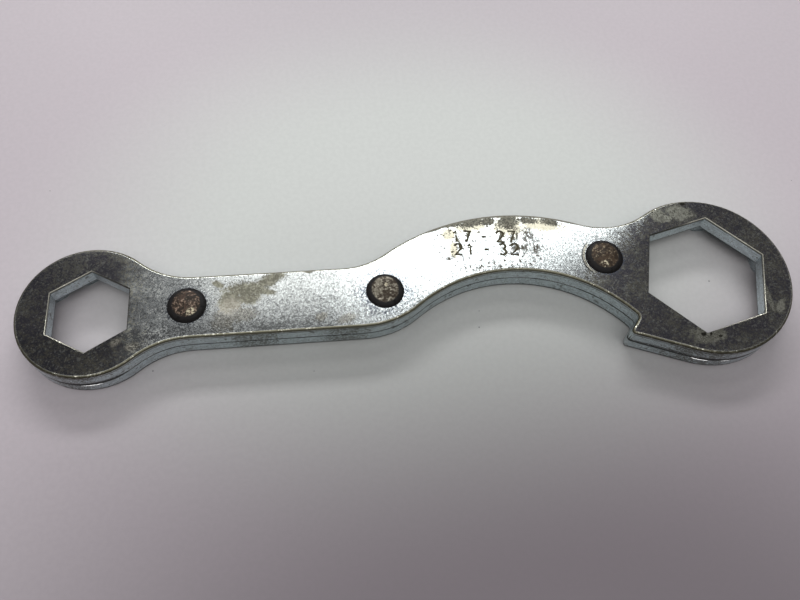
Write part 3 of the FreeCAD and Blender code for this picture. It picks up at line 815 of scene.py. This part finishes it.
def rivet_material(name, centre, crown, kind):
    """A rough rivet head: rust and dirt, worn bright in creases, with painted glints, and near-black on its
    flank as painted shade and dark reflection.
    """
    material, net = new_material(name)
    place = in_millimetres(net)[0]
    lumps = net.noise(place, 0.62, 3.0, 0.6, 0.4)
    fine = net.noise(place, 1.5, 4.0, 0.75)
    chosen = net.node("ShaderNodeSeparateColor")
    net.feed(chosen.inputs[0], net.cells(place, 2.6))
    crumb, glint, spot = chosen.outputs

    colour = net.coat(kind.main, kind.rust, net.fall(net.add_share(lumps, fine, 1.1), 1.00, 1.10), 0.9)
    colour = net.mix(net.rise(fine, 0.35, 0.7), net.mix(0.5, colour, kind.rust), colour)
    from_crease = net.math("ABSOLUTE", net.minus(lumps, 0.52))
    creases = net.times(net.fall(from_crease, 0.008, 0.028), net.rise(fine, 0.42, 0.60, kind.creases))
    crumbs = net.times(net.rise(crumb, 0.86, 0.92), net.rise(fine, 0.45, 0.6, 0.7))
    worn = net.highest(creases, crumbs)
    colour = net.coat(colour, kind.worn, worn)
    # Painted glints on one side of the crown, where it catches the light
    from_painted_glint = away_from(net, place, centre + Vector((*kind.gleam, 0.0)) * MM)
    glints = net.rise(net.add_share(fine, glint, 0.4), 0.66, 0.80)
    painted_glints = net.times(net.fall(from_painted_glint, kind.gleam_reach * 0.5, kind.gleam_reach), glints)
    colour = net.coat(colour, Tone.GLEAM, painted_glints, 0.9)
    colour = net.coat(colour, kind.rust, net.rise(spot, 0.86, 0.92), 0.75)

    # The flank is painted near-black as shade and dark reflection, centred a little towards the back so that
    # it is wider in front
    from_middle = net.vector_math("SUBTRACT", place, (centre.x / MM, centre.y / MM + 0.15, 0.0))
    oval = net.vector_math("MULTIPLY", from_middle, (1.0, 0.94, 0.0))
    ragged = net.sway(net.size(oval), lumps, 0.7)
    colour = net.coat(colour, Tone.PAINTED_FLANK_SHADE, net.rise(ragged, crown / MM - 0.30, crown / MM + 0.12))
    bump = net.node("ShaderNodeBump")
    net.feed_all(bump, Distance=RIVET_RELIEF, Height=net.add_share(fine, lumps, 0.8))
    roughness = net.between(net.highest(worn, painted_glints), RIVET_ROUGHNESS, RIVET_WORN_ROUGHNESS)
    finish(
        net, Base_Color=colour, Roughness=roughness, Metallic=net.times(worn, 0.5), Normal=bump.outputs[0],
        Specular_IOR_Level=0.2,
    )
    return material


# Work by hand, in code

def select_nothing():
    bpy.ops.object.select_all(action="DESELECT")


def only(piece):
    """Select this object and nothing else."""
    select_nothing()
    piece.hide_set(False)
    piece.select_set(True)
    bpy.context.view_layer.objects.active = piece


def edit(piece):
    """Enter edit mode on a piece with nothing selected."""
    only(piece)
    bpy.ops.object.mode_set(mode="EDIT")
    bpy.ops.mesh.select_all(action="DESELECT")


def leave_edit():
    bpy.ops.object.mode_set(mode="OBJECT")


def close_up(merge=False):
    """Merge a mesh if told, turn its faces outwards and leave edit mode."""
    bpy.ops.mesh.select_all(action="SELECT")
    if merge:
        bpy.ops.mesh.remove_doubles(threshold=MERGE)
    bpy.ops.mesh.normals_make_consistent(inside=False)
    leave_edit()


def start_loop(centre, sides, radius, height, fill, turn=0.0):
    """A loop of straight sides in edit mode, selected, to be drawn up."""
    select_nothing()
    bpy.ops.mesh.primitive_circle_add(
        vertices=sides, radius=radius, fill_type=fill,
        location=(centre.x, centre.y, height), rotation=(0.0, 0.0, turn),
    )
    made = bpy.context.object
    apply_place(made)
    bpy.ops.object.mode_set(mode="EDIT")
    bpy.ops.mesh.select_all(action="SELECT")
    return made


def draw_up(centre, extrude, width, height, steps):
    """Draw the selected loop up through steps of a width and a height."""
    for next_width, next_height in steps:
        extrude(TRANSFORM_OT_translate={"value": (0.0, 0.0, next_height - height)})
        scale = next_width / width
        middle = (centre.x, centre.y, next_height)
        bpy.ops.transform.resize(value=(scale, scale, 1.0), center_override=middle)
        width, height = next_width, next_height


def apply_place(piece):
    """Move a piece's place into its mesh, so that its object sits at the origin."""
    only(piece)
    bpy.ops.object.transform_apply(location=True, rotation=True, scale=True)


def copy_of(node, name):
    """A copy of a CAD node, its loose triangles merged, ready to be worked on."""
    only(frame["nodes"][node])
    bpy.ops.object.duplicate()
    piece = bpy.context.view_layer.objects.active
    piece.name = name
    del piece["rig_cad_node"]
    edit(piece)
    close_up(merge=True)
    return piece


def cut(piece, cutter):
    """Cut a closed piece with a closed cutter, which leaves its material on the cut faces."""
    only(piece)
    cutting = piece.modifiers.new("cut", "BOOLEAN")
    cutting.operation = "DIFFERENCE"
    cutting.solver = "EXACT"
    cutting.material_mode = "TRANSFER"
    cutting.use_self = True
    cutting.object = cutter
    bpy.ops.object.modifier_apply(modifier=cutting.name)
    bpy.data.objects.remove(cutter)


def dress(piece, material):
    piece.data.materials.clear()
    piece.data.materials.append(material)


FLAT_FACES_FIRST = 100


def smooth(piece, degrees):
    """Smooth shading up to an angle, with flat faces kept flat by their area."""
    only(piece)
    bpy.ops.object.shade_smooth_by_angle(angle=math.radians(degrees))
    weighing = piece.modifiers.new("weighted_normals", "WEIGHTED_NORMAL")
    weighing.keep_sharp = True
    weighing.weight = FLAT_FACES_FIRST
    bpy.ops.object.modifier_apply(modifier=weighing.name)


# The curve of a hexagon's rim in degrees, and how far its cutter starts below and ends above it
RIM_STEPS = (20, 40, 60, 80)
BELOW_RIM = 0.1 * MM
ABOVE_TOP = 0.5 * MM


def flared_hexagon(centre, across_flats, turn, rim, material):
    """A hexagonal cutter that flares at the top as the rounded rim of an opening does."""
    to_corner = 1 / math.cos(math.pi / 6)
    apothem = across_flats / 2 - 2 * CLEAR
    height = TOP - rim - BELOW_RIM
    cutter = start_loop(centre, 6, apothem * to_corner, height, "NGON", turn)
    steps = [(across_flats / 2 - CLEAR, TOP - rim)]
    for degrees in RIM_STEPS:
        angle = math.radians(degrees)
        steps.append((across_flats / 2 + rim * (1 - math.cos(angle)), TOP - rim + rim * math.sin(angle)))
    steps.append((across_flats / 2 + rim * 1.02, TOP + ABOVE_TOP))
    draw_up(centre, bpy.ops.mesh.extrude_region_move, apothem, height, steps)
    close_up()
    dress(cutter, material)
    return cutter


def arc(centre, radius, start, end, steps=7):
    """Points of an arc in a character's own square, its angles in degrees."""
    points = []
    for number in range(steps + 1):
        angle = math.radians(start + (end - start) * number / steps)
        points.append((centre[0] + radius * math.cos(angle), centre[1] + radius * math.sin(angle)))
    return points


# A character's width for its height, a space's share of it, and plain numbers as strokes in squares
# one unit high
PITCH = 0.93
SPACE = 0.40
STROKES = {
    "1": [(0.14, 0.80), (0.34, 1.0), (0.34, 0.0)],
    "2": arc((0.30, 0.71), 0.29, 165, -35) + [(0.0, 0.0), (0.60, 0.0)],
    "3": arc((0.28, 0.76), 0.24, 150, -75) + arc((0.28, 0.26), 0.27, 75, -150),
    "7": [(0.02, 1.0), (0.60, 1.0), (0.20, 0.0)],
    "-": [(0.12, 0.48), (0.50, 0.48)],
}


def number_cutter(words, place, look, turn, material):
    """Plain numbers as a cutter: round strokes that sink into the plate."""
    line = bpy.data.curves.new("strokes", "CURVE")
    line.dimensions = "3D"
    line.bevel_depth = look.stroke / 2
    line.bevel_resolution = 2
    line.use_fill_caps = True
    pitch = look.number_height * PITCH
    width = sum(pitch * SPACE if character == " " else pitch for character in words)
    start = -width / 2
    for character in words:
        if character == " ":
            start += pitch * SPACE
            continue
        points = STROKES[character]
        spline = line.splines.new("POLY")
        spline.points.add(len(points) - 1)
        for point, (across, up) in zip(spline.points, points):
            point.co = (start + across * look.number_height, (up - 0.5) * look.number_height, 0.0, 1.0)
        start += pitch
    cutter = bpy.data.objects.new("strokes", line)
    bpy.context.scene.collection.objects.link(cutter)
    only(cutter)
    bpy.ops.object.convert(target="MESH")
    cutter = bpy.context.object
    cutter.rotation_euler = (0.0, 0.0, turn)
    cutter.location = (place[0], place[1], TOP + look.stroke / 2 - look.number_depth)
    apply_place(cutter)
    edit(cutter)
    close_up(merge=True)
    dress(cutter, material)
    return cutter


# Sizes and colours that a user would change

def length(name, description, millimetres):
    """A length that a user can change."""
    return bpy.props.FloatProperty(
        name=name, description=description, default=millimetres * MM, subtype="DISTANCE",
    )


def paint(name, description, colour):
    """A colour that a user can change."""
    return bpy.props.FloatVectorProperty(
        name=name, description=description, default=colour, subtype="COLOR", min=0.0, max=1.0,
    )


def power(name, description, watts):
    """The power of a lamp that a user can change."""
    return bpy.props.FloatProperty(name=name, description=description, default=watts, unit="POWER")


class PlateLook(bpy.types.PropertyGroup):
    """Sizes and colours of the two plates."""

    rim: length("Opening rim", "Radius of the worn rim round both hexagons", 0.28)
    small_hexagon: length("Small hexagon", "Across flats of the small opening", 17.1)
    big_hexagon: length("Big hexagon", "Across flats of the big opening", 27.1)
    big_turn: bpy.props.FloatProperty(
        name="Big hexagon turn", description="Turn of the big hexagon in the plate",
        default=math.radians(-15), subtype="ANGLE",
    )
    number_height: length("Number height", "Height of the stamped numbers", 3.0)
    number_depth: length("Number depth", "Depth of the stamped numbers", 0.26)
    stroke: length("Stroke", "Width of a stamped stroke before it sinks in", 0.62)
    zinc: paint("Zinc", "Colour of the bright plating", (0.88, 0.92, 0.92))
    patina: paint("Patina", "Colour of the dulled plating on the rings", (0.102, 0.098, 0.116))
    wall: paint("Walls", "Colour of the side walls", (0.66, 0.75, 0.78))


class RivetLook(bpy.types.PropertyGroup):
    """Sizes of the three rivets."""

    foot: length("Foot", "Radius of a rivet's countersunk foot under the lower plate", 3.6)
    shank: length("Shank", "Radius of a rivet in its hole", 2.5)
    # The flank's black is painted shade and dark reflection
    flank: length("Flank", "Width of the steep black edge round a crown", 1.25)
    shoulder: length("Shoulder", "Height of the crown's edge above the plate", 0.85)
    hammering: length("Hammering", "Depth of the dents in a rivet's crown", 0.26)


class StageLook(bpy.types.PropertyGroup):
    """The floor and the light."""

    floor: paint("Floor", "Colour of the paper behind the object", (0.585, 0.606, 0.585))
    floor_edge: paint("Floor's edge", "Tint of the paper away from the object", (0.885, 0.775, 0.86))
    # The paper near the camera is darkened as a painted shadow
    floor_shadow: paint("Floor in front", "Colour of the graded paper near the camera", (0.178, 0.174, 0.175))
    surround: bpy.props.FloatProperty(name="Surround", description="Brightness of the room", default=0.12)
    window: power("Window", "Power of the soft box that the bow mirrors", 0.90)
    window_side: power("Window side", "Power of the soft box that the handle mirrors", 0.19)
    back: power("Back", "Power of the long soft box behind the object", 6.3)
    key: power("Keys", "Power of the soft boxes at the left and right", 0.7)
    top: power("Top", "Power of the soft box above the object", 7.6)


# Operators

# The camera at the photograph's angle: its place in millimetres, its turn in degrees, its lens
CAMERA_PLACE = (-19.32022, -76.4863, 157.93903)
CAMERA_TURN = (26.628663, -2.927310, -5.429342)
CAMERA_LENS = 33.52878
CAMERA_SENSOR = 36.0
CAMERA_NEAR = 0.005

# Soft boxes: name, power, place and size in metres, colour, and a turn in degrees for those that
# hang level instead of facing the object
LAMPS = (
    ("window", "window", (0.200, 0.530, 0.760), (0.41, 0.22), (0.97, 1.0, 1.0), 17),
    ("window_side", "window_side", (-0.080, 0.495, 0.760), (0.22, 0.21), (1.0, 1.0, 0.97), 0),
    ("back", "back", (0.0, 0.86, 0.64), (0.90, 0.16), (1.0, 1.0, 1.0), None),
    ("top", "top", (-0.02, -0.28, 1.05), (1.5, 0.95), (1.0, 0.99, 0.99), None),
    ("left_key", "key", (-0.85, 0.27, 0.55), (0.7, 0.4), (1.0, 0.98, 0.98), None),
    ("right_key", "key", (0.87, 0.27, 0.55), (0.7, 0.4), (1.0, 0.98, 0.98), None),
)
ROOM_COLOUR = (0.98, 0.98, 1.0, 1.0)

# The paper, in millimetres: where its painted shadow is darkest, where its tint starts, and a greyer patch of
# painted shade behind
PAPER_SIZE = 6.0
SHADOW_MIDDLE, SHADOW_STRETCH, SHADOW_BAND = (20.0, -100.0, 0.0), (0.75, 1.0, 0.0), (35.0, 142.0)
TINT_MIDDLE, TINT_STRETCH, TINT_BAND = (5.0, 20.0, 0.0), (1.0, 1.3, 0.0), (45.0, 110.0)
FAR_SHADE_MIDDLE, FAR_SHADE_BAND, FAR_SHADE_SHARE = (5.0, 150.0, 0.0), (40.0, 110.0), 0.30
FAR_SHADE_COLOUR = (0.35, 0.35, 0.355)
DAPPLE_COLOUR = (0.1, 0.1, 0.1)
DUST_COLOUR = (0.05, 0.05, 0.05)
PAPER_ROUGHNESS = 0.55

# Specks of dust on the paper, in millimetres: place along, place across, radius
DUST = (
    (72.8, 1.6, 0.16), (14.7, -2.5, 0.10), (14.1, -6.7, 0.14), (-24.8, -14.8, 0.10), (-60.4, -12.1, 0.13),
    (104.0, 30.0, 0.10), (-88.0, 38.0, 0.10),
)


class SPANNER_OT_stage(bpy.types.Operator):
    """Lay the floor, hang the soft lights and set the camera at the photograph's angle"""

    bl_idname = "spanner.stage"
    bl_label = "Build the stage"

    def execute(self, context):
        look = context.scene.spanner_stage
        self.set_camera(context)
        self.lay_floor(look)
        self.hang_lights(context, look)
        return {"FINISHED"}

    def set_camera(self, context):
        select_nothing()
        bpy.ops.object.camera_add(
            location=[value * MM for value in CAMERA_PLACE],
            rotation=[math.radians(value) for value in CAMERA_TURN],
        )
        camera = context.object
        camera.name = "photo_camera"
        camera.data.sensor_width = CAMERA_SENSOR
        camera.data.lens = CAMERA_LENS
        camera.data.clip_start = CAMERA_NEAR
        context.scene.camera = camera

    def lay_floor(self, look):
        select_nothing()
        bpy.ops.mesh.primitive_plane_add(size=PAPER_SIZE, location=(0.0, 0.0, 0.0))
        floor = bpy.context.object
        floor.name = "floor"
        edit(floor)
        bpy.ops.mesh.select_all(action="SELECT")
        bpy.ops.mesh.subdivide(number_cuts=8)
        leave_edit()
        dress(floor, self.paper(look))

    def paper(self, look):
        """Pale paper, darkened towards the camera by a painted shadow and greyer far behind as painted shade,
        with a few specks of dust.
        """
        material, net = new_material("graded_paper")
        place = in_millimetres(net)[0]
        # A painted shadow darkens the paper towards the camera
        near = self.oval_distance(net, place, SHADOW_MIDDLE, SHADOW_STRETCH)
        paper = net.mix(net.rise(near, *SHADOW_BAND), tuple(look.floor_shadow), tuple(look.floor))
        away = self.oval_distance(net, place, TINT_MIDDLE, TINT_STRETCH)
        tint = net.mix(net.rise(away, *TINT_BAND), (1.0, 1.0, 1.0), tuple(look.floor_edge))
        paper = net.vector_math("MULTIPLY", paper, tint)
        # Painted shade far behind the object
        beyond = net.distance(place, FAR_SHADE_MIDDLE)
        paper = net.coat(paper, FAR_SHADE_COLOUR, net.fall(beyond, *FAR_SHADE_BAND, FAR_SHADE_SHARE))
        dapple = net.noise(place, 0.9, 2.0, 0.5)
        paper = net.coat(paper, DAPPLE_COLOUR, net.rise(dapple, 0.3, 0.7, 0.05))
        specks = []
        for along, across, radius in DUST:
            specks.append(net.fall(net.distance(place, (along, across, 0.0)), radius, radius * 1.6))
        paper = net.coat(paper, DUST_COLOUR, net.highest(*specks), 0.7)
        finish(net, Base_Color=paper, Roughness=PAPER_ROUGHNESS)
        return material

    def oval_distance(self, net, place, middle, stretch):
        """The distance from a place on the paper, measured longer one way than the other."""
        outward = net.vector_math("SUBTRACT", place, middle)
        return net.size(net.vector_math("MULTIPLY", outward, stretch))

    def hang_lights(self, context, look):
        for name, strength, place, size, colour, level_turn in LAMPS:
            select_nothing()
            turn = Vector(place).to_track_quat("Z", "Y").to_euler()
            if level_turn is not None:
                turn = (0.0, 0.0, math.radians(level_turn))
            bpy.ops.object.light_add(type="AREA", location=place, rotation=turn)
            light = bpy.context.object
            light.name = name
            light.data.shape = "RECTANGLE"
            light.data.size, light.data.size_y = size
            light.data.energy = getattr(look, strength)
            light.data.color = colour
        world = bpy.data.worlds.new("room")
        world.use_nodes = True
        background = world.node_tree.nodes["Background"]
        background.inputs["Color"].default_value = ROOM_COLOUR
        background.inputs["Strength"].default_value = look.surround
        context.scene.world = world
        context.scene.view_settings.view_transform = "Standard"


# The stamped numbers: words and the middle of each row in millimetres, and their turn in degrees
NUMBERS = (("17 - 27", 17.4, 13.3), ("21 - 32", 17.6, 9.8))
NUMBER_TURN = -3.7
PLATE_SMOOTHING, RIVET_SMOOTHING = 35, 50


class SPANNER_OT_upper_plate(bpy.types.Operator):
    """Round the rims of the upper plate's hexagons, stamp its numbers and give it its worn zinc"""

    bl_idname = "spanner.upper_plate"
    bl_label = "Dress the upper plate"

    def execute(self, context):
        look = context.scene.spanner_plates
        zinc, grime = zinc_material("worn_zinc_top", look, UpperSurface), groove_material()
        plate = copy_of("upper_plate", "stamped_upper_plate")
        dress(plate, zinc)
        cut(plate, flared_hexagon(SMALL_CENTRE, look.small_hexagon, 0.0, look.rim, zinc))
        cut(plate, flared_hexagon(BIG_CENTRE, look.big_hexagon, look.big_turn, look.rim, zinc))
        turn = math.radians(NUMBER_TURN)
        for words, along, across in NUMBERS:
            cut(plate, number_cutter(words, (along * MM, across * MM), look, turn, grime))
        smooth(plate, PLATE_SMOOTHING)
        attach(plate, "root")
        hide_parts("upper_plate")
        return {"FINISHED"}


class SPANNER_OT_lower_plate(bpy.types.Operator):
    """Give the lower plate its worn zinc"""

    bl_idname = "spanner.lower_plate"
    bl_label = "Dress the lower plate"

    def execute(self, context):
        look = context.scene.spanner_plates
        plate = copy_of("lower_plate", "stamped_lower_plate")
        dress(plate, zinc_material("worn_zinc_under", look, LowerSurface))
        smooth(plate, PLATE_SMOOTHING)
        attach(plate, "root")
        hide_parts("lower_plate")
        return {"FINISHED"}


# A rivet's crown: how many sides it has, how many rings, how much of its rise is dome and how much
# is the pip in its middle, and the pip's width
RIVET_SIDES = 72
CROWN_RINGS = 12
DOME_SHARE, PIP_SHARE = 0.84, 0.16
PIP_WIDTH = 0.55 * MM
# Dents and roughness of a crown: name, pattern, size in millimetres, share of the hammering
DENTS = (("dents", "VORONOI", 1.5, 0.7), ("roughness", "CLOUDS", 0.45, 0.4))


class SPANNER_OT_rivets(bpy.types.Operator):
    """Form the three hammered rivets"""

    bl_idname = "spanner.rivets"
    bl_label = "Form the rivets"

    def execute(self, context):
        look = context.scene.spanner_rivets
        for node in RIVET_NODES:
            rivet = self.form(node, look)
            self.hammer(rivet, node, look)
            crown = self.crown_radius(node, look)
            dress(rivet, rivet_material(node + "_rust", centre_of(node), crown, RIVET_FINISHES[node]))
            smooth(rivet, RIVET_SMOOTHING)
            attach(rivet, "root")
            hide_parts(node)
        return {"FINISHED"}

    def crown_radius(self, node, look):
        low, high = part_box(node)
        return (high.x - low.x) / 2 - look.flank

    def outline(self, node, look):
        """A rivet's radius and height at each ring, from its shank up to the middle of its crown."""
        low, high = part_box(node)
        head = (high.x - low.x) / 2
        crown = self.crown_radius(node, look)
        shoulder = TOP + look.shoulder
        rings = [
            (look.shank + 0.05 * MM, 1.2 * MM),
            (look.shank, TOP - 0.05 * MM),
            (head, TOP + 0.01 * MM),
            (head - 0.10 * MM, TOP + 0.18 * MM),
            (crown + 0.16 * MM, shoulder - 0.10 * MM),
            (crown, shoulder + 0.02 * MM),
        ]
        for number in range(1, CROWN_RINGS):
            share = 1 - number / CROWN_RINGS
            pip = PIP_SHARE * math.exp(-((crown * share / PIP_WIDTH) ** 2))
            dome = DOME_SHARE * (1 - share ** 2.0)
            rings.append((crown * share, shoulder + (high.z - shoulder) * (dome + pip)))
        return rings

    def form(self, node, look):
        """A rivet drawn up ring by ring from its foot."""
        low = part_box(node)[0]
        centre = centre_of(node)
        rivet = start_loop(centre, RIVET_SIDES, look.foot, low.z, "NOTHING")
        rivet.name = node.replace("rivet", "hammered_rivet")
        rings = self.outline(node, look)
        draw_up(centre, bpy.ops.mesh.extrude_edges_move, look.foot, low.z, rings)
        bpy.ops.mesh.merge(type="CENTER")
        bpy.ops.mesh.select_all(action="DESELECT")
        bpy.ops.mesh.select_non_manifold()
        bpy.ops.mesh.edge_face_add()
        close_up()
        return rivet

    def hammer(self, rivet, node, look):
        """Dent the crown, downwards only."""
        lowest = TOP + look.shoulder - 0.02 * MM
        crown = rivet.vertex_groups.new(name="crown")
        inside = [vertex.index for vertex in rivet.data.vertices if vertex.co.z > lowest]
        crown.add(inside, 1.0, "REPLACE")
        for name, pattern, size, share in DENTS:
            texture = bpy.data.textures.new(node + "_" + name, pattern)
            texture.noise_scale = size * MM
            rough = rivet.modifiers.new(name, "DISPLACE")
            rough.texture = texture
            rough.direction = "Z"
            rough.mid_level = 1.0
            rough.strength = look.hammering * share
            rough.vertex_group = crown.name
            bpy.ops.object.modifier_apply(modifier=rough.name)


_groups = {}


def finish_groups():
    """The node groups that both plates share, built once."""
    if not _groups:
        _groups["stain"] = stain_group()
        _groups["grain"] = grain_group()
        _groups["scratch"] = scratch_group()
    return _groups


class SPANNER_PT_panel(bpy.types.Panel):
    """The spanner's pieces, sizes and colours"""

    bl_label = "Multi spanner"
    bl_idname = "SPANNER_PT_panel"
    bl_space_type = "VIEW_3D"
    bl_region_type = "UI"
    bl_category = "Spanner"

    def draw(self, context):
        layout = self.layout
        for operator, settings in (
            ("spanner.stage", context.scene.spanner_stage),
            ("spanner.upper_plate", context.scene.spanner_plates),
            ("spanner.lower_plate", None),
            ("spanner.rivets", context.scene.spanner_rivets),
        ):
            layout.operator(operator)
            if settings:
                for name in settings.__annotations__:
                    layout.prop(settings, name)


CLASSES = (
    PlateLook, RivetLook, StageLook,
    SPANNER_OT_stage, SPANNER_OT_upper_plate, SPANNER_OT_lower_plate, SPANNER_OT_rivets,
    SPANNER_PT_panel,
)
SETTINGS = {"spanner_plates": PlateLook, "spanner_rivets": RivetLook, "spanner_stage": StageLook}


def register():
    for kind in CLASSES:
        bpy.utils.register_class(kind)
    for name, kind in SETTINGS.items():
        setattr(bpy.types.Scene, name, bpy.props.PointerProperty(type=kind))


def unregister():
    for name in SETTINGS:
        delattr(bpy.types.Scene, name)
    for kind in reversed(CLASSES):
        bpy.utils.unregister_class(kind)


def main():
    register()
    bpy.ops.spanner.stage()
    bpy.ops.spanner.upper_plate()
    bpy.ops.spanner.lower_plate()
    bpy.ops.spanner.rivets()


if __name__ == "__main__":
    main()
